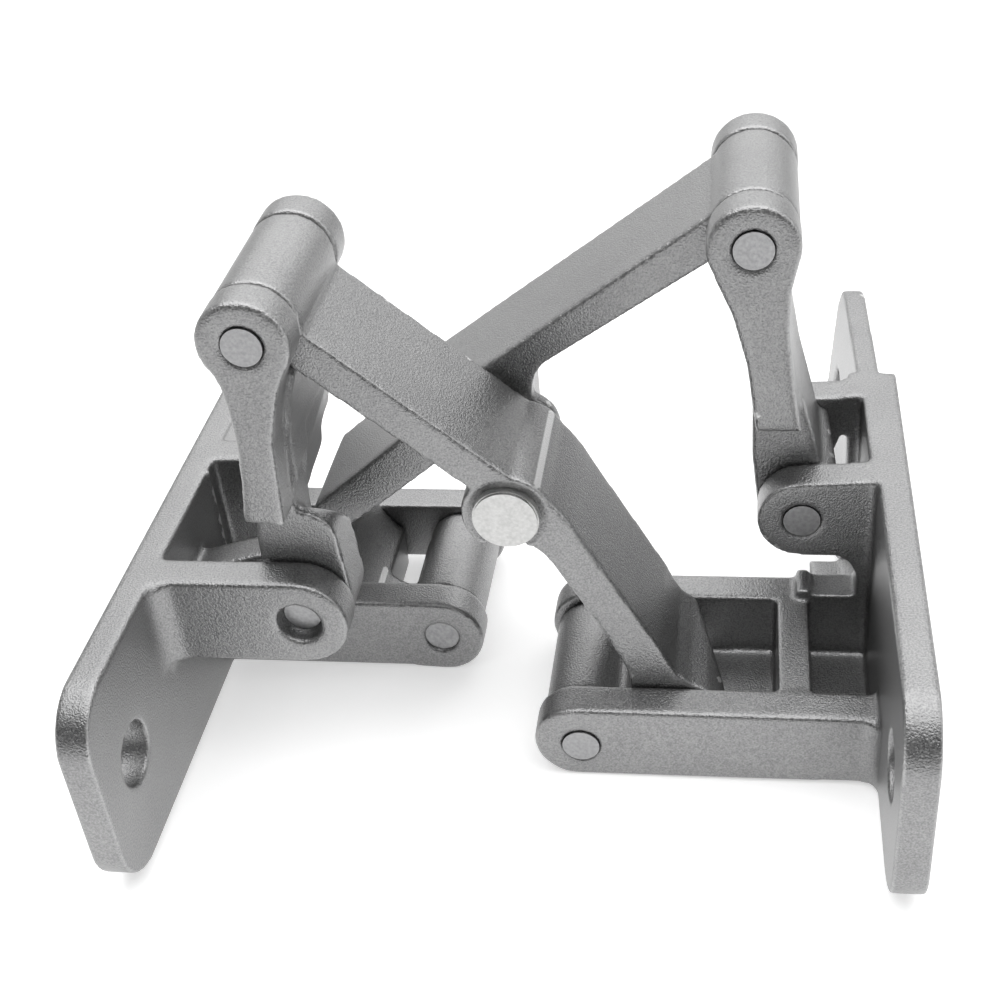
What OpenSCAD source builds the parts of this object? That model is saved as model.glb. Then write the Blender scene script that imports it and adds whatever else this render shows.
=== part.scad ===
// Concealed four-joint hinge of cast alloy: two mounting leaves joined by two crossed arms and two side links.
// Millimetres, +Z up. The pins lie along Y, the crossing pin is at X 0.
// Stored fully unfolded: the two mounting faces look away from each other.

/* [Pivots] */
// crossing pin's height above the lowest edge
cross_z = 42.2; // [30:0.1:60]
// front arm's upper pin, X from the crossing pin
ka_x = -29.4; // [-40:0.1:-20]
// front arm's upper pin, height over the crossing pin
ka_z = 29.3; // [20:0.1:40]
// rear arm's upper pin, X from the crossing pin
kb_x = 32.1; // [20:0.1:40]
// rear arm's upper pin, height over the crossing pin
kb_z = 30.4; // [20:0.1:40]
// rear arm's lower pin, X
l1_x = -15.35; // [-20:0.05:-10]
// rear arm's lower pin, height
l1_z = -35.6; // [-40:0.1:-30]
// left link's lower pin, X
l2_x = -29.6; // [-36:0.1:-24]
// left link's lower pin, height
l2_z = -14.9; // [-20:0.1:-10]
// front arm's lower pin, X
r1_x = 8.55; // [5:0.05:15]
// front arm's lower pin, height
r1_z = -36.4; // [-40:0.1:-30]
// right link's lower pin, X
r2_x = 39.5; // [30:0.1:45]
// right link's lower pin, height
r2_z = -15; // [-20:0.1:-10]

/* [Stack along the pins] */
// thickness of each strap, lug and cheek
lug_t = 5.6; // [4:0.1:8]
// width of each knuckle barrel
barrel_w = 19.6; // [12:0.1:30]
// side gap between a barrel and its cheeks
side_gap = 0.3; // [0.3:0.05:0.6]
// washer between the two arms
washer_t = 2; // [1:0.1:4]

/* [Pins and bushes] */
// pin diameter
pin_d = 5.3; // [4:0.1:8]
// radial clearance of each pin in a bush or a turning eye
run_clear = 0.05; // [0.01:0.01:0.1]
// depth of the rear arm's eye on the crossing pin
cross_eye = 2.4; // [2:0.1:4]
// wall of each bush
bush_wall = 0.8; // [0.5:0.1:1.5]
// radial play of the left link's hidden lower bore, which stays open
left_play = 1.9; // [0.4:0.1:2.4]
// radial play of the right link's hidden lower bore, which stays open
right_play = 0.8; // [0.4:0.1:2.4]
// diameter of the crossing pin's head
head_d = 9; // [7:0.1:12]

/* [Knuckles] */
// radius of the upper knuckles
knuckle_r = 6; // [5:0.1:8]
// radius of the lower barrels
barrel_r = 5.8; // [5:0.1:8]
// radius of the links' lower barrels
foot_r = 6.5; // [5:0.1:8]
// radius of the straps round the upper pins
strap_r = 6.1; // [5:0.1:8]

/* [Mounting plates] */
// distance over the two mounting faces
span_x = 109; // [90:0.1:130]
// plate thickness
plate_t = 4.6; // [3:0.1:8]
// plate height
plate_h = 32.9; // [28:0.1:45]
// plate's lower edge above the cheeks' lowest edge
plate_rise = 1.4; // [0:0.1:4]
// reach of the longer ear beyond the knuckles
ear_long = 27.6; // [20:0.1:35]
// reach of the shorter ear beyond the knuckles
ear_short = 24.4; // [20:0.1:35]
// reach of the right leaf's back ear beyond the knuckles
ear_back = 33.6; // [20:0.1:40]
// the back ear's step towards the arms
ear_step = 2.9; // [0:0.1:4]
// corner radius of the ears
ear_r = 8.2; // [4:0.1:12]
// mounting hole diameter
hole_d = 9; // [6:0.1:11]
// mounting hole's distance from its ear's end
hole_in = 11.2; // [8:0.1:16]

/* [Hidden] */
$fn = 96;
eps = 0.01;
grey = [0.62, 0.62, 0.63];
steel = [0.78, 0.78, 0.79];
bronze = [0.6, 0.52, 0.38];
KA = [ka_x, ka_z];
KB = [kb_x, kb_z];
L1 = [l1_x, l1_z];
L2 = [l2_x, l2_z];
R1 = [r1_x, r1_z];
R2 = [r2_x, r2_z];
C = [0, 0];
// the layers along Y, from the front
y1 = lug_t;
ya0 = lug_t + side_gap;
ya1 = ya0 + barrel_w;
yb0 = ya1 + washer_t;
yb1 = yb0 + barrel_w;
depth = yb1 + side_gap + lug_t;
ymid = (depth + ear_back - ear_long) / 2;
// straps and lugs that stand between the two arms
ys0 = ya1 + side_gap;
ys1 = ys0 + lug_t;
yt1 = yb0 - side_gap;
yt0 = yt1 - lug_t;
yk = depth - lug_t;
// second support of the left middle pin, and the right leaf's back wall
yp0 = ya0 + 7.9;
yp1 = yp0 + lug_t;
yw0 = yb1 + 1.6;
yw1 = yw0 + lug_t;
// rear end of the block behind the crossing pin
yc1 = yb0 + 8.7;
xo = span_x / 2;
xi = xo - plate_t;
zb = plate_rise - cross_z;
zt = zb + plate_h;
pin_r = pin_d / 2;
bush_or = pin_r + run_clear + bush_wall;
collar_r = 3.3;
spot_h = 0.4;

// an XZ profile as a slab from y0 to y1
module slab(y0, y1) {
  translate([0, y1 - ymid, cross_z])
    rotate([90, 0, 0])
      linear_extrude(y1 - y0)
        children();
}

module disc(p, r) {
  translate(p)
    circle(r);
}

module rod(p, r, y0, y1) {
  slab(y0, y1)
    disc(p, r);
}

// outline round two circles
module capsule(a, ra, b, rb) {
  d = norm(b - a);
  t = atan2(b[1] - a[1], b[0] - a[0]);
  f = acos((ra - rb) / d);
  disc(a, ra);
  disc(b, rb);
  polygon([
    a + ra * [cos(t + f), sin(t + f)],
    a + ra * [cos(t - f), sin(t - f)],
    b + rb * [cos(t - f), sin(t - f)],
    b + rb * [cos(t + f), sin(t + f)]
  ]);
}

// the piece between a corner at p, whose sides run along angles a1 and a2, and its round of radius r
module corner(p, a1, a2, r) {
  h = (a2 - a1) / 2;
  m = (a1 + a2) / 2;
  t = r / tan(abs(h));
  c = p + r / sin(abs(h)) * [cos(m), sin(m)];
  difference() {
    polygon([p, p + t * [cos(a1), sin(a1)], c, p + t * [cos(a2), sin(a2)]]);
    disc(c, r);
  }
}

// a band on one side of a line through the origin: direction a, offsets o0 to o1 to its left, stations s0 to s1
function at(a, s, o) = [s * cos(a) - o * sin(a), s * sin(a) + o * cos(a)];

module band(a, s0, s1, o0, o1) {
  polygon([at(a, s0, o0), at(a, s1, o0), at(a, s1, o1), at(a, s0, o1)]);
}

module front_arm() {
  color(grey)
    difference() {
      union() {
        slab(ya0, ya1)
          front_arm_outline();
        rod(KA, knuckle_r, ya0, ya1);
        slab(ya0, ya1)
          front_arm_eye();
        rod(R1, barrel_r, ya0, ya1);
      }
      bore(KA, bush_or, ya0, ya1);
      bore(C, bush_or, ya0, ya1);
      bore(R1, bush_or, ya0, ya1);
      // spot face under the crossing pin's head
      rod(C, 5.4, ya0 - 1, ya0 + spot_h);
    }
}

module front_arm_eye() {
  intersection() {
    disc(C, 6.2);
    translate([-10, -4.85])
      square([20, 20]);
  }
}

module front_arm_outline() {
  a = -41.5;
  b = -61.9;
  union() {
    band(a, -38, 1, 0.1, 5.3);
    polygon([
      at(a, -3, 5.3), [3.9, 4], [5.3, 2.8], [6.5, 1.5], [7.6, 0], [8.7, -1.9], at(b, 8.5, 6.7),
      at(b, 30, 6.7), at(b, 30, 1.2), [5.5, -7.9], [4.3, -6.2], [3.2, -5.3], [2, -4.85], [0, -4.85],
      at(a, 0, 0.1)
    ]);
    front_arm_heel();
  }
}

module front_arm_heel() {
  b = -61.9;
  polygon([
    at(b, 24, 1.2), at(b, 24, 6.7), at(b, 28.4, 6.7),
    [21.9, -27.4], [23.9, -29.2], [26.4, -30.6], [28.4, -32.4],
    [29.2, -34.8], [28.9, -37.6], [27.4, -40], [25, -41.6], [22, r1_z - barrel_r],
    [r1_x, r1_z - barrel_r], [r1_x, r1_z + barrel_r - 0.6], [12.2, -32], [13.6, -33], [14.8, -32.6],
    [15.6, -30.8], [15.2, -27.5]
  ]);
}

module rear_arm() {
  color(grey)
    difference() {
      union() {
        slab(yb0, yb1)
          rear_arm_outline();
        slab(yb0, yc1)
          rear_arm_block();
        rod(KB, knuckle_r, yb0, yb1);
        rod(C, 4.9, yb0, yb0 + cross_eye);
        rod(L1, barrel_r, yb0, yb1);
        slab(yb0, yb1)
          rear_arm_hook();
      }
      bore(KB, bush_or, yb0, yb1);
      rod(C, bush_or, yb0 - 1, yb0 + cross_eye);
      // room for the collar and the pin's end
      rod(C, collar_r + 0.3, yb0 + cross_eye - eps, yb0 + cross_eye + 1.3);
      bore(L1, bush_or, yb0, yb1);
      // notch behind the hook's tail
      slab(yb0 + 7.5, yb1 + 1)
        polygon([[-25.8, -28], [-25.8, -46], [-21.9, -46], [-21.9, -28]]);
    }
}

module rear_arm_outline() {
  a = 35.3;
  b = 38.5;
  polygon([
    at(a, 42, 11.4), at(a, 42, 5.7), at(a, 8, 6.7), at(a, 3, 6.9), [-6.5, -0.6],
    at(b, -14, 3.5), at(b, -27, 3.5), at(b, -33.5, 3.6), at(b, -35, 9.9), at(b, -10, 10.3), at(a, -3, 11.4)
  ]);
}

// the block that closes the crossing eye's back
module rear_arm_block() {
  polygon([
    [6.5, 12.8], [4.8, 11.7], [3.1, 10.3], [2, 8.8], [1.4, 6.9], [1.2, 5.5], [1.2, -3.2], [-1, -9.4],
    [-9.6, -9.4], [-12.4, -5.4], [-12, 0], [-3, 9], [4.6, 13.2]
  ]);
}

module rear_arm_hook() {
  b = 38.5;
  difference() {
    union() {
      intersection() {
        disc([-21.5, -25.8], 15.7);
        polygon([[-60, -8], [-28, -8], [-20, -30], [-20, -60], [-60, -60]]);
      }
      polygon([at(b, -30, 3.6), at(b, -30, 9.9), at(b, -35, 9.9), [-35.6, -18], [-36.8, -23], [-28, -27]]);
      polygon([[-22, -32], [-22, l1_z - barrel_r], [l1_x, l1_z - barrel_r], [l1_x, -32]]);
    }
    disc([-18, -24], 12.2);
  }
}

module left_link() {
  color(grey)
    difference() {
      union() {
        slab(0, y1)
          left_strap();
        slab(ys0, ys1)
          left_strap();
        slab(y1 - eps, ys0 + eps)
          left_web(2.5);
        slab(ya0, ys0 + eps)
          left_web(-1.5);
        slab(ya0, yp0 - side_gap)
          left_web(-8);
        slab(ya0, yp0 - side_gap)
          capsule(L2, foot_r, [-28.2, -4.5], 4.3);
      }
      bore(KA, pin_r, 0, ys1);
      bore(L2, pin_r + left_play, ya0, yp0);
    }
}

module left_strap() {
  disc(KA, strap_r);
  polygon([
    [ka_x - strap_r + 0.4, ka_z], [-34.5, 27], [-33.3, 23], [-32.9, 16], [-33.4, 9], [-34.3, 2.6],
    [-28.7, 1.9], [-28.5, 6.4], [-28, 15.3], [-26.2, 22.2], [-24.2, 26.5], KA
  ]);
}

module left_web(z0) {
  difference() {
    intersection() {
      polygon([
        [-33.8, 23.8], [-33.3, 16], [-33.9, 9], [-34.8, 2.6], [-35.6, -8], [l2_x - foot_r, l2_z],
        [l2_x + foot_r, l2_z], [-24.2, -8], [-26.2, -3], [-28, 3], [-27.6, 12], [-26.6, 18],
        [-25.4, 21.8], [-26.6, 23]
      ]);
      translate([-60, z0])
        square([60, 80]);
    }
    disc(KA, knuckle_r + 0.4);
  }
}

module right_link() {
  color(grey)
    difference() {
      union() {
        slab(yt0, yt1)
          right_strap();
        slab(yk, depth)
          right_strap();
        slab(yt1 - eps, yk + eps)
          right_web(2.8);
        slab(ys1 + side_gap, yw0 - side_gap)
          right_web(-40);
        rod(R2, foot_r, ys1 + side_gap, yw0 - side_gap);
      }
      bore(KB, pin_r, yt0, depth);
      bore(R2, pin_r + right_play, ys1, yw0);
    }
}

module right_strap() {
  disc(KB, strap_r);
  polygon([
    [kb_x - strap_r + 0.4, kb_z], [27.2, 26.2], [29.4, 21], [31.4, 13.3], [32.7, 3],
    [38.8, 3], [37.7, 10.5], [36.9, 18.3], [36.9, 23.9], [37.9, 28.5], KB
  ]);
}

module right_web(z0) {
  intersection() {
    polygon([
      [29.4, 21.6], [31.2, 13.3], [32.2, 3], [32.3, -8], [r2_x - foot_r, r2_z],
      [r2_x + foot_r, r2_z], [42.7, -11], [41, -4], [39.1, 3.5], [37.8, 11], [36.9, 18.3], [36.7, 21.6]
    ]);
    translate([0, z0])
      square([60, 80]);
  }
}

module bore(p, r, y0, y1) {
  rod(p, r, y0 - 1, y1 + 1);
}

// a stretch of mounting plate from y0 to its ear's rounded end y1, with the ear's hole
module ear(y0, y1, x0) {
  s = sign(y1 - y0);
  translate([x0, -ymid, cross_z])
    rotate([90, 0, 90])
      linear_extrude(plate_t)
        difference() {
          union() {
            polygon([[y0, zb], [y1 - s * ear_r, zb], [y1 - s * ear_r, zt], [y0, zt]]);
            polygon([[y0, zb + ear_r], [y1, zb + ear_r], [y1, zt - ear_r], [y0, zt - ear_r]]);
            for (z = [zb + ear_r, zt - ear_r])
              disc([y1 - s * ear_r, z], ear_r);
          }
          disc([y1 - s * hole_in, zb + plate_h / 2], hole_d / 2);
        }
}

// an upright fillet in the corner at [x, y]
module upright(p, a1, a2, r, z0, z1) {
  translate([0, -ymid, cross_z + z0])
    linear_extrude(z1 - z0)
      corner(p, a1, a2, r);
}

module left_leaf() {
  color(grey)
    difference() {
      union() {
        ear(depth / 2 + 1, -ear_long, -xo);
        ear(depth / 2, depth + ear_short, -xo);
        slab(0, y1)
          left_lug();
        upright([-xi, 0], 0, -90, 3.5, l2_z - 6.9, zt - 0.5);
        // hidden second support of the middle pin
        slab(yp0, yp1)
          left_support();
        slab(yt0, yt1)
          left_cheek(-41.7);
        slab(yk, depth)
          left_cheek(-39.6);
        // wall that closes the pocket's back, and the rib in its corner
        slab(30.4, 36)
          polygon([[-xi - 1, zb + 0.5], [-xi - 1, zt], [-38.5, zt], [-38.5, zb + 0.5]]);
        slab(yt1 - eps, 30.4 + eps)
          polygon([[-xi - 1, zb + 0.5], [-xi - 1, zt], [-47.9, zt], [-47.9, zb + 0.5]]);
      }
      bore(L2, pin_r, 0, yp1);
      bore(L1, pin_r, yt0, depth);
      // wider mouth round the recessed pin
      rod(L2, pin_r + 0.5, -1, 2.4);
    }
}

module left_lug() {
  r = 6.9;
  polygon([[-xi - 1, zt], [l2_x, zt], [l2_x, l2_z - r], [-xi - 1, l2_z - r]]);
  disc(L2, r);
  corner([-xi, l2_z - r], 0, -90, 3);
}

module left_support() {
  disc(L2, 4.4);
  polygon([
    [-xi - 1, -17], [l2_x - 3.1, l2_z + 3.1], [l2_x + 4.4, l2_z], [l2_x, l2_z - 4.4], [-xi - 1, -26]
  ]);
}

module left_cheek(z0) {
  r = 6.6;
  polygon([[-xi - 1, -28.9], [l1_x, l1_z + r], [l1_x, l1_z - r], [l1_x - 6, z0], [-xi - 1, z0]]);
  disc(L1, r);
}

module right_leaf() {
  color(grey)
    difference() {
      union() {
        ear(depth / 2, -ear_short, xi);
        slab(depth / 2 - 1, 55.9)
          polygon([[xi, zb], [xo, zb], [xo, zt], [xi, zt]]);
        ear(yw0, depth + ear_back, xi - ear_step);
        // thicker stretch of plate behind the middle cheek
        slab(ys0, yw1)
          polygon([[xi - 0.9, zb], [xi + 1, zb], [xi + 1, zt], [xi - 0.9, zt]]);
        slab(0, y1)
          right_cheek();
        upright([xi, 0], 180, 270, 3, -41.2, -30);
        slab(ys0, ys1)
          right_cheek();
        slab(ys0, ys1)
          right_lug();
        // step and rib between the middle cheek and its lug
        slab(ys0, ys1)
          polygon([[39.2, -30], [39.2, -28], [45, -28], [45, -20], [xi + 1, -20], [xi + 1, -30]]);
        slab(yw0, yw1)
          right_wall();
        // crossbar and thin floor between the front cheeks
        slab(y1 - eps, ys0 + eps)
          polygon([[36.2, -29.8], [40.8, -29.8], [40.8, -41], [36.2, -41]]);
        slab(y1 - eps, ys0 + eps)
          polygon([[29.5, -41.5], [29.5, -40.2], [xi + 1, -40.2], [xi + 1, -41.5]]);
        // light floor of the box behind the lug
        slab(ys1 - eps, yw0 + eps)
          polygon([[xi + 1, -38], [xi + 1, zb], [42, zb], [42, zb + 0.9], [xi - 3, zb + 0.9]]);
      }
      bore(R1, pin_r, 0, ys1);
      bore(R2, pin_r, ys0, yw1);
    }
}

module right_cheek() {
  polygon([[xi + 1, -29.6], [8.2, -29.6], [8.2, -42.2], [xi + 1, -41.7]]);
  disc([8.2, -35.9], 6.3);
}

module right_lug() {
  r = 6.4;
  disc(R2, r);
  polygon([[xi + 1, zt], [r2_x, r2_z + r], [r2_x, r2_z - r], [xi + 1, r2_z - r]]);
  corner([xi - 0.9, r2_z - r], 180, 270, 3);
}

// the back wall's lug, which has a shallow arm to the plate
module right_wall() {
  r = 6.4;
  disc(R2, r);
  polygon([[xi + 1, zt], [r2_x, r2_z + r], [r2_x, r2_z - r], [43, r2_z - 0.3], [xi + 1, r2_z - 0.3]]);
  corner([xi - 0.9, r2_z - 0.3], 180, 270, 3);
}

module pin(p, y0, y1) {
  color(steel)
    rod(p, pin_r, y0, y1);
}

module bush(p, y0, y1) {
  color(bronze)
    difference() {
      rod(p, bush_or, y0, y1);
      rod(p, pin_r + run_clear, y0 - 1, y1 + 1);
    }
}

module crossing_pin() {
  color(steel)
    union() {
      rod(C, head_d / 2 - 0.2, ya0 - 1.1, ya0);
      rod(C, head_d / 2, ya0 - 0.8, ya0 + spot_h - eps);
      rod(C, pin_r, ya0 - 0.5, yb0 + cross_eye + 1.1);
    }
}

module crossing_washer() {
  color(steel)
    difference() {
      rod(C, 4.6, ya1 + 0.1, yb0 - 0.1);
      rod(C, pin_r + run_clear, ya1, yb0);
    }
}

module crossing_collar() {
  color(steel)
    difference() {
      rod(C, collar_r, yb0 + cross_eye + 0.1, yb0 + cross_eye + 0.9);
      rod(C, pin_r, yb0 + cross_eye, yb0 + cross_eye + 1);
    }
}

module left_upper_pin() {
  pin(KA, 0, ys1);
}

module left_middle_pin() {
  pin(L2, 2.4, yp1);
}

module left_lower_pin() {
  pin(L1, yt0 + 0.6, depth);
}

module right_upper_pin() {
  pin(KB, yt0, depth);
}

module right_middle_pin() {
  pin(R2, ys0, yw1);
}

module right_lower_pin() {
  pin(R1, 0, ys1);
}

module front_arm_upper_bush() {
  bush(KA, ya0, ya1);
}

module front_arm_cross_bush() {
  bush(C, ya0 + spot_h, ya1);
}

module front_arm_lower_bush() {
  bush(R1, ya0, ya1);
}

module rear_arm_upper_bush() {
  bush(KB, yb0, yb1);
}

module rear_arm_cross_bush() {
  bush(C, yb0, yb0 + cross_eye);
}

module rear_arm_lower_bush() {
  bush(L1, yb0, yb1);
}

left_leaf();
right_leaf();
front_arm();
rear_arm();
left_link();
right_link();
crossing_pin();
crossing_washer();
crossing_collar();
left_upper_pin();
left_middle_pin();
left_lower_pin();
right_upper_pin();
right_middle_pin();
right_lower_pin();
front_arm_upper_bush();
front_arm_cross_bush();
front_arm_lower_bush();
rear_arm_upper_bush();
rear_arm_cross_bush();
rear_arm_lower_bush();
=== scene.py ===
"""Looks of a heavy concealed hinge: bead-blasted castings, ground pins, a bright crossing pin.

The castings are the CAD solids with a few cast forms cut or added and their edges rounded, as
bead blasting leaves them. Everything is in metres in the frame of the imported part: the pins lie
along Y and Z is up.
"""

import math

import bmesh
import bpy
from mathutils import Matrix, Vector


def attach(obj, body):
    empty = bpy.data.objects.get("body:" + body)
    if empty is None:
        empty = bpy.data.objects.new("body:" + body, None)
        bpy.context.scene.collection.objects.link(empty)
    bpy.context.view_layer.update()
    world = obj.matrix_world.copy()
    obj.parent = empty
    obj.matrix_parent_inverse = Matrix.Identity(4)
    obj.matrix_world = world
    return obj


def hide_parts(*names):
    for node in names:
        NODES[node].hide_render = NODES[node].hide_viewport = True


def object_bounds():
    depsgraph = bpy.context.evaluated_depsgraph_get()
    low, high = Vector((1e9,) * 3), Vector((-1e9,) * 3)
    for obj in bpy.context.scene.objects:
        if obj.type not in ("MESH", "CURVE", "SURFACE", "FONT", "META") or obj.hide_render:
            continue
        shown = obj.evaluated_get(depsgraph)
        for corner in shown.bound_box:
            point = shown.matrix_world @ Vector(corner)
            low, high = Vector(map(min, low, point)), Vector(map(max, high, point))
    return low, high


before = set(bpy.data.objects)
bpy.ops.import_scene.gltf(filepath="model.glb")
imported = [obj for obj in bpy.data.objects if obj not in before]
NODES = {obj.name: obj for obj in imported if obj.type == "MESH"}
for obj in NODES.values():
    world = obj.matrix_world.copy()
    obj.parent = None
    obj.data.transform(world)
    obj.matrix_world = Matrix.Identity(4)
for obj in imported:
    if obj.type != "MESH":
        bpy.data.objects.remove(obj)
cad_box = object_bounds()
MM = 0.001

# sockets of the Mix node when it mixes colours, which share their names with its other types'
MIX_FACTOR, MIX_A, MIX_B, MIX_RESULT = 0, 6, 7, 2


def srgb(hex_colour):
    """Linear RGBA of an sRGB hex colour."""
    out = []
    for i in (1, 3, 5):
        v = int(hex_colour[i:i + 2], 16) / 255
        out.append(v / 12.92 if v <= 0.04045 else ((v + 0.055) / 1.055) ** 2.4)
    return (*out, 1.0)


def add(tree, kind, links=(), **settings):
    """A shader node with its settings, and its links as (socket, other node's output)."""
    node = tree.nodes.new(kind)
    for name, value in settings.items():
        if name.startswith("in_"):
            node.inputs[name[3:].replace("_", " ")].default_value = value
        else:
            setattr(node, name, value)
    for socket, output in links:
        tree.links.new(output, node.inputs[socket])
    return node


def new_material(name):
    """An empty material and its node tree."""
    material = bpy.data.materials.new(name)
    material.use_nodes = True
    material.node_tree.nodes.clear()
    return material, material.node_tree


def blasted_cast_alloy():
    """Cast zinc-aluminium alloy, bead blasted: satin grey with a fine matt grain and soft clouds,
    with a painted highlight that lightens its convex edges."""
    # the blasting's real grain is near 0.15 mm, and is drawn coarser so that it shows
    grain_width, grain_depth = 0.26 * MM, 0.09 * MM
    cloud_width = 14 * MM
    material, t = new_material("blasted_cast_alloy")
    place = add(t, "ShaderNodeTexCoord")
    grain = add(t, "ShaderNodeTexNoise", [("Vector", place.outputs["Object"])],
                in_Scale=1 / grain_width, in_Detail=1.0, in_Roughness=0.5)
    cloud = add(t, "ShaderNodeTexNoise", [("Vector", place.outputs["Object"])],
                in_Scale=1 / cloud_width, in_Detail=3.0, in_Roughness=0.5)
    mottle = add(t, "ShaderNodeMix", [("A", grain.outputs["Fac"]), ("B", cloud.outputs["Fac"])],
                 in_Factor=0.2)
    tone = add(t, "ShaderNodeValToRGB", [("Fac", mottle.outputs["Result"])])
    tone.color_ramp.elements[0].position = 0.3
    tone.color_ramp.elements[0].color = srgb("#7c7c7d")
    tone.color_ramp.elements[1].position = 0.7
    tone.color_ramp.elements[1].color = srgb("#a2a2a2")
    # Pointiness is 0.5 on a flat face and rises on a convex edge, where it paints a highlight
    edges = add(t, "ShaderNodeNewGeometry")
    painted_edge_highlight = add(t, "ShaderNodeMapRange", [("Value", edges.outputs["Pointiness"])],
                 in_From_Min=0.525, in_From_Max=0.60, in_To_Min=0.0, in_To_Max=0.85)
    edge_highlighted_tone = add(t, "ShaderNodeMix",
               [(MIX_FACTOR, painted_edge_highlight.outputs["Result"]), (MIX_A, tone.outputs["Color"])],
               data_type="RGBA")
    # the colour of the painted highlight on convex edges
    edge_highlighted_tone.inputs[MIX_B].default_value = srgb("#e8e8e8")
    matt = add(t, "ShaderNodeMapRange", [("Value", grain.outputs["Fac"])],
               in_From_Min=0.3, in_From_Max=0.7, in_To_Min=0.30, in_To_Max=0.42)
    pits = add(t, "ShaderNodeBump", [("Height", grain.outputs["Fac"])],
               in_Strength=1.0, in_Distance=grain_depth)
    skin = add(t, "ShaderNodeBsdfPrincipled",
               [("Base Color", edge_highlighted_tone.outputs[MIX_RESULT]), ("Roughness", matt.outputs["Result"]),
                ("Normal", pits.outputs["Normal"])],
               in_Metallic=0.9)
    add(t, "ShaderNodeOutputMaterial", [("Surface", skin.outputs["BSDF"])])
    return material


def turned_steel(name, dark, light, roughness):
    """Turned and ground steel: smoother than the castings, with a shallow even grain."""
    grain_width, grain_depth = 0.5 * MM, 0.03 * MM
    material, t = new_material(name)
    place = add(t, "ShaderNodeTexCoord")
    grain = add(t, "ShaderNodeTexNoise", [("Vector", place.outputs["Object"])],
                in_Scale=1 / grain_width, in_Detail=3.0)
    tone = add(t, "ShaderNodeValToRGB", [("Fac", grain.outputs["Fac"])])
    tone.color_ramp.elements[0].position = 0.3
    tone.color_ramp.elements[0].color = srgb(dark)
    tone.color_ramp.elements[1].position = 0.7
    tone.color_ramp.elements[1].color = srgb(light)
    marks = add(t, "ShaderNodeBump", [("Height", grain.outputs["Fac"])],
                in_Strength=0.2, in_Distance=grain_depth)
    skin = add(t, "ShaderNodeBsdfPrincipled",
               [("Base Color", tone.outputs["Color"]), ("Normal", marks.outputs["Normal"])],
               in_Metallic=1.0, in_Roughness=roughness)
    add(t, "ShaderNodeOutputMaterial", [("Surface", skin.outputs["BSDF"])])
    return material


def oiled_bronze():
    """Sintered bronze of the bushes, dark with oil in its pores."""
    pore_width = 0.3 * MM
    material, t = new_material("oiled_bronze")
    place = add(t, "ShaderNodeTexCoord")
    pores = add(t, "ShaderNodeTexNoise", [("Vector", place.outputs["Object"])],
                in_Scale=1 / pore_width, in_Detail=2.0)
    tone = add(t, "ShaderNodeValToRGB", [("Fac", pores.outputs["Fac"])])
    tone.color_ramp.elements[0].color = srgb("#5a4a32")
    tone.color_ramp.elements[1].color = srgb("#8c7450")
    skin = add(t, "ShaderNodeBsdfPrincipled", [("Base Color", tone.outputs["Color"])],
               in_Metallic=1.0, in_Roughness=0.5)
    add(t, "ShaderNodeOutputMaterial", [("Surface", skin.outputs["BSDF"])])
    return material


def board_with_painted_glow():
    """Matt white board with a painted pool of light: it glows round the hinge and fades out further
    away.
    """
    # metres from the part's middle between which the painted glow fades out
    glow_near, glow_far = 0.07, 0.2
    material, t = new_material("board_with_painted_glow")
    place = add(t, "ShaderNodeTexCoord")
    reach = add(t, "ShaderNodeVectorMath", [(0, place.outputs["Object"])], operation="LENGTH")
    painted_glow = add(t, "ShaderNodeMapRange", [("Value", reach.outputs["Value"])],
               in_From_Min=glow_near, in_From_Max=glow_far, in_To_Min=0.45, in_To_Max=0.0)
    skin = add(t, "ShaderNodeBsdfPrincipled", [("Emission Strength", painted_glow.outputs["Result"])],
               in_Roughness=0.9, in_Base_Color=srgb("#f6f6f6"),
               in_Emission_Color=srgb("#ffffff"))
    add(t, "ShaderNodeOutputMaterial", [("Surface", skin.outputs["BSDF"])])
    return material


ALLOY = blasted_cast_alloy()
PIN = turned_steel("ground_pin_steel", "#929293", "#a8a8a9", 0.40)
CROSSING = turned_steel("bright_crossing_steel", "#b0b0af", "#c2c2c1", 0.38)
BRONZE = oiled_bronze()

# The forms that the castings get here are drawn in mm: x and z from the crossing pin's axis, and
# y backwards from the front lug's face. These two numbers take them to the part's own frame.
Y_MIDDLE = 29.5
CROSS_Z = 42.2
CUT, ADD = "DIFFERENCE", "UNION"


def block(operation, front_y, back_y, front, back=None):
    """A block to cut or add, from one outline of (x, z) points to the same or another behind it."""
    return (operation, [(x, front_y, z) for x, z in front],
            [(x, back_y, z) for x, z in back or front])


# left link
SHOULDER = [(-28.9, 5), (-29.0, 1.9), (-29.0, 0.2), (-26, -0.3), (-23.2, -3), (-22.8, -8),
            (-15, -8), (-15, 5)]
FOOT_RIM = [(-29.2, 6), (-29.2, 0.3), (-20, 0.3), (-20, 6)]
FOOT_BACK = [(-29.2, 6), (-29.2, -6.0), (-20, -6.0), (-20, 6)]
WEB_FRONT = [(-28.3, 10), (-28.6, 4.8), (-29.0, 2.2), (-29.7, -3.1), (-15, -3.1), (-15, 10)]
WEB_REAR = [(-27.8, 10), (-29.4, 4.8), (-29.9, 2.2), (-30.7, -3.1), (-15, -3.1), (-15, 10)]
# arms
HEEL_FRONT = [(29.6, -25), (29.6, -44), (36, -44), (36, -25)]
HEEL_REAR = [(24.2, -25), (24.2, -44), (36, -44), (36, -25)]
BEND = [(-7, 6), (-9.04, 7.57), (-15.5, 3.0), (-17.4, -0.66), (-14, -1)]
# right link
CORNER_FRONT = [(44.8, -8), (44.8, -22), (50, -22), (50, -8)]
CORNER_REAR = [(43.9, -8), (43.9, -22), (50, -22), (50, -8)]
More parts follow.
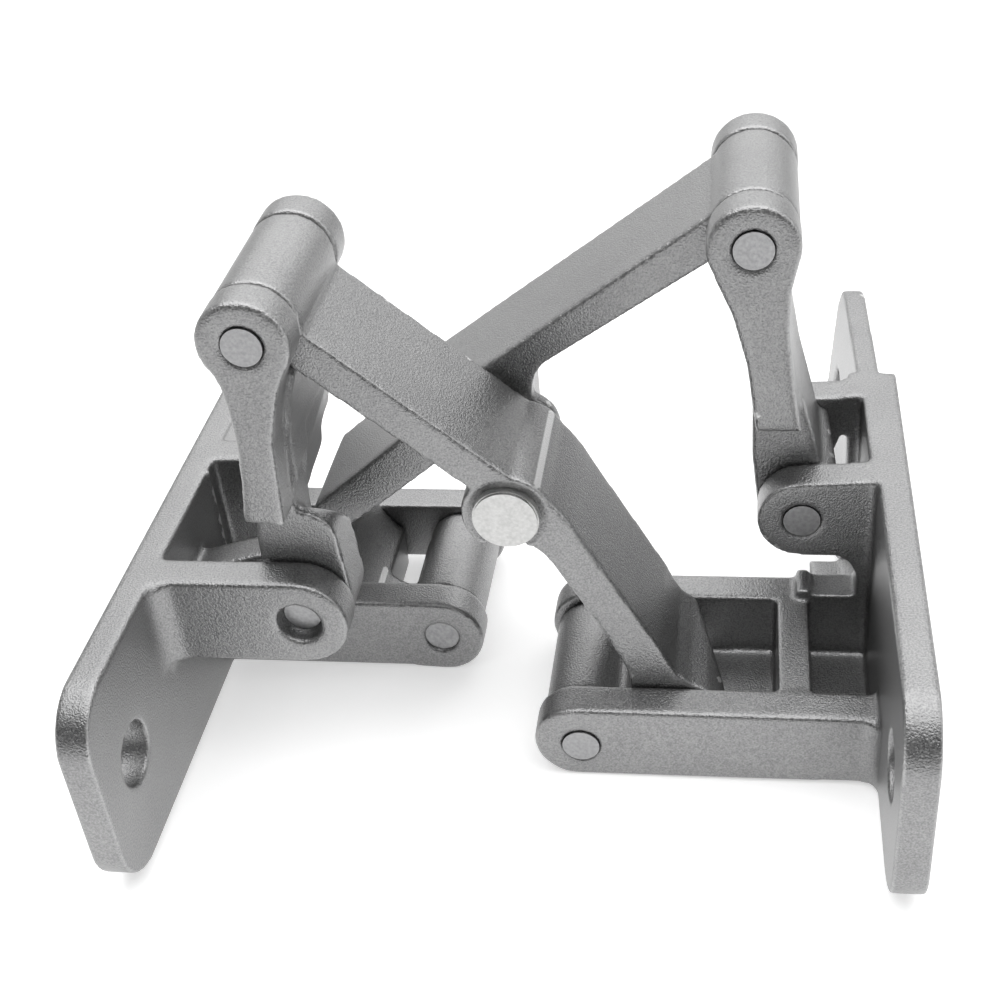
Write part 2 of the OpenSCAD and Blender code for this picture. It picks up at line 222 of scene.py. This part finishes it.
# leaves
RIB = [(-49.85, -40.5), (-49.85, -5), (-46, -5), (-46, -40.5)]
FLOOR_FRONT = [(29.4, -41.4), (29.4, -40.3), (30.5, -40.3), (30.5, -41.4)]
FLOOR_REAR = [(25.2, -41.4), (25.2, -40.3), (30.5, -40.3), (30.5, -41.4)]
STEP = [(41.0, -28.9), (47.7, -28.9), (47.7, -25), (46.6, -22.6), (45, -21.6), (41.0, -25)]
EAR_ROOM = [(45, -1), (45, -45), (53, -45), (53, -1)]
EAR_ROOT = 56.1


def back_ear():
    """The right leaf's back ear: it leans inwards towards its end and thickens downwards."""
    near, far, low, top, corner = 50.0, 88.0, -40.8, -7.9, 7.0
    inner_x, outer_x, lean_from, lean, thickening = 48.5, 52.0, 56, 1.0, 2.4
    outline = [(near, low), (far - corner, low)]
    for k in range(1, 12):
        turn = math.pi * k / 24
        outline.append((far - corner + corner * math.sin(turn),
                        low + corner - corner * math.cos(turn)))
    for k in range(12):
        turn = math.pi * k / 24
        outline.append((far - corner + corner * math.cos(turn),
                        top - corner + corner * math.sin(turn)))
    outline += [(far - corner, top), (near, top)]

    def leaning(y):
        return lean * ((y - lean_from) / (far - lean_from))

    inner = [(inner_x - leaning(y) - thickening * (top - z) / (top - low), y, z)
             for y, z in outline]
    outer = [(outer_x - leaning(y), y, z) for y, z in outline]
    return ADD, inner, outer


def ear_hole():
    """The mounting hole through the back ear, where the CAD has it."""
    y, z, radius, sides = 75.4, -24.35, 4.5, 48
    turns = [math.pi * k / (sides // 2) for k in range(sides)]
    inner, outer = ([(x, y + radius * math.cos(turn), z + radius * math.sin(turn))
                     for turn in turns] for x in (43.0, 55.0))
    return CUT, inner, outer


SHAPING = {
    "left_link": [
        # the foot's shoulder, round over the barrel
        block(CUT, 5.75, 13.55, SHOULDER),
        # the foot falls away behind its front rim
        block(CUT, 7.2, 13.6, FOOT_RIM, FOOT_BACK),
        # the web's side, narrower towards the rear strap
        block(CUT, 13.5, 31.9, WEB_FRONT, WEB_REAR),
    ],
    "front_arm": [
        # the heel's flank, which slants in towards the rear
        block(CUT, 6.5, 25.8, HEEL_FRONT, HEEL_REAR),
    ],
    "rear_arm": [
        # the arm's top edge runs on straight over its bend
        block(ADD, 32.0, 47.05, BEND),
    ],
    "right_link": [
        # the foot's back corner
        block(CUT, 32.5, 48.8, CORNER_FRONT, CORNER_REAR),
    ],
    "left_leaf": [
        # the pocket's back is plain up to its corner
        block(CUT, 27.3, 30.35, RIB),
    ],
    "right_leaf": [
        # the box's floor under the slanting heel
        block(ADD, 9.0, 26.0, FLOOR_FRONT, FLOOR_REAR),
        # the step behind the box, low up to the plate
        block(CUT, 25.5, 31.7, STEP),
        # the plain ear makes room for the one that leans
        block(CUT, EAR_ROOT, 90, EAR_ROOM),
        back_ear(),
        ear_hole(),
    ],
}
CASTINGS = ("left_leaf", "right_leaf", "front_arm", "rear_arm", "left_link", "right_link")


def loft(name, front, back):
    """A closed block between two rings of (x, y, z) points, in the shaping's own mm."""
    work = bmesh.new()
    rings = [[work.verts.new((x * MM, (y - Y_MIDDLE) * MM, (z + CROSS_Z) * MM))
              for x, y, z in ring] for ring in (front, back)]
    for i in range(len(front)):
        j = (i + 1) % len(front)
        work.faces.new((rings[0][i], rings[0][j], rings[1][j], rings[1][i]))
    work.faces.new(rings[0][::-1])
    work.faces.new(rings[1])
    bmesh.ops.triangulate(work, faces=work.faces)
    bmesh.ops.recalc_face_normals(work, faces=work.faces)
    mesh = bpy.data.meshes.new(name)
    work.to_mesh(mesh)
    work.free()
    body = bpy.data.objects.new(name, mesh)
    bpy.context.scene.collection.objects.link(body)
    return body


def settled(piece):
    """Applies the piece's modifiers to its mesh."""
    bpy.context.view_layer.update()
    evaluated = piece.evaluated_get(bpy.context.evaluated_depsgraph_get())
    shape = bpy.data.meshes.new_from_object(evaluated)
    piece.modifiers.clear()
    piece.data = shape


def cad_copy(node):
    """A new piece with the node's CAD mesh, the corners that its faces share merged."""
    mesh = NODES[node].data.copy()
    work = bmesh.new()
    work.from_mesh(mesh)
    bmesh.ops.remove_doubles(work, verts=work.verts, dist=0.002 * MM)
    work.to_mesh(mesh)
    work.free()
    piece = bpy.data.objects.new(node + "_casting", mesh)
    bpy.context.scene.collection.objects.link(piece)
    return piece


def shape_cast_forms(piece, node):
    """Cuts the node's cast hollows out of the piece and adds its cast forms."""
    for operation, front, back in SHAPING[node]:
        tool = loft("shaping", front, back)
        join = piece.modifiers.new("shape", "BOOLEAN")
        join.operation = operation
        join.solver = "EXACT"
        join.use_self = True
        join.object = tool
        settled(piece)
        bpy.data.objects.remove(tool)


def round_edges(piece):
    """Remakes the piece's skin with the round edges and filled corners of a blasted casting."""
    voxel, passes, most_triangles = 0.4 * MM, 10, 120000
    remesh = piece.modifiers.new("skin", "REMESH")
    remesh.mode = "VOXEL"
    remesh.voxel_size = voxel
    blast = piece.modifiers.new("blast", "SMOOTH")
    blast.factor = 0.5
    blast.iterations = passes
    settled(piece)
    count = sum(len(p.vertices) - 2 for p in piece.data.polygons)
    if count > most_triangles:
        thin = piece.modifiers.new("thin", "DECIMATE")
        thin.ratio = most_triangles / count
        settled(piece)
    piece.data.polygons.foreach_set("use_smooth", [True] * len(piece.data.polygons))


def casting(node):
    """The piece that stands for a cast node."""
    piece = cad_copy(node)
    shape_cast_forms(piece, node)
    round_edges(piece)
    piece.data.materials.clear()
    piece.data.materials.append(ALLOY)
    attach(piece, node)
    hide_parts(node)


def finish_of(name):
    """The material of a CAD node."""
    if name in CASTINGS:
        return ALLOY
    if "bush" in name:
        return BRONZE
    return CROSSING if name.startswith("crossing") else PIN


def studio():
    """A white board, three softboxes and a pale room."""
    low, _ = cad_box
    half = 3.0
    mesh = bpy.data.meshes.new("floor")
    mesh.from_pydata([(-half, -half, low[2]), (half, -half, low[2]),
                      (half, half, low[2]), (-half, half, low[2])], [], [(0, 1, 2, 3)])
    floor = bpy.data.objects.new("floor", mesh)
    bpy.context.scene.collection.objects.link(floor)
    mesh.materials.append(board_with_painted_glow())

    part_middle = Vector((0, 0, 0.04))
    for name, place, size, watts in (
            ("overhead_softbox", (0, 0, 0.8), (1.2, 1.2), 9.0),
            ("back_softbox", (0, 0.9, 0.6), (1.4, 0.8), 3.6),
            ("right_softbox", (0.9, 0, 0.5), (0.8, 0.8), 2.2)):
        lamp = bpy.data.lights.new(name, "AREA")
        lamp.shape = "RECTANGLE"
        lamp.size, lamp.size_y = size
        lamp.energy = watts
        box = bpy.data.objects.new(name, lamp)
        box.location = place
        box.rotation_euler = (part_middle - Vector(place)).to_track_quat("-Z", "Y").to_euler()
        bpy.context.scene.collection.objects.link(box)

    world = bpy.data.worlds.new("pale_room")
    bpy.context.scene.world = world
    world.use_nodes = True
    tree = world.node_tree
    sky = tree.nodes["Background"]
    sky.inputs["Color"].default_value = srgb("#ffffff")
    # the room is pale behind the hinge and dim on its front side
    toward = add(tree, "ShaderNodeTexCoord")
    split = add(tree, "ShaderNodeSeparateXYZ", [("Vector", toward.outputs["Generated"])])
    pale = add(tree, "ShaderNodeMapRange", [("Value", split.outputs["Y"])],
               in_From_Min=-0.5, in_From_Max=0.5, in_To_Min=0.1, in_To_Max=0.7)
    tree.links.new(pale.outputs["Result"], sky.inputs["Strength"])


def camera():
    """The photograph's viewpoint: from the front, a little right, looking down on the hinge."""
    yaw, rise, roll, distance = 0.198, 0.618, 0.105, 209.715 * MM
    aim = Vector((-2.356, -14.5, 38.146)) * MM
    focal_pixels, frame_pixels, sensor = 1502.167, 1001, 36.0
    back = Vector((math.sin(yaw) * math.cos(rise), -math.cos(yaw) * math.cos(rise),
                   math.sin(rise)))
    right = (-back).cross(Vector((0, 0, 1))).normalized()
    down = (-back).cross(right)
    c, s = math.cos(roll), math.sin(roll)
    right, down = c * right + s * down, c * down - s * right
    lens = bpy.data.cameras.new("camera")
    lens.sensor_width = sensor
    lens.lens = focal_pixels / frame_pixels * sensor
    lens.clip_start = 0.01
    view = bpy.data.objects.new("camera", lens)
    turned = Matrix((right, -down, back)).transposed().to_4x4()
    view.matrix_world = Matrix.Translation(aim + distance * back) @ turned
    bpy.context.scene.collection.objects.link(view)
    bpy.context.scene.camera = view


for name in CASTINGS:
    casting(name)

for name, node in NODES.items():
    node.data.materials.clear()
    node.data.materials.append(finish_of(name))

studio()
camera()
bpy.context.scene.view_settings.view_transform = "Standard"
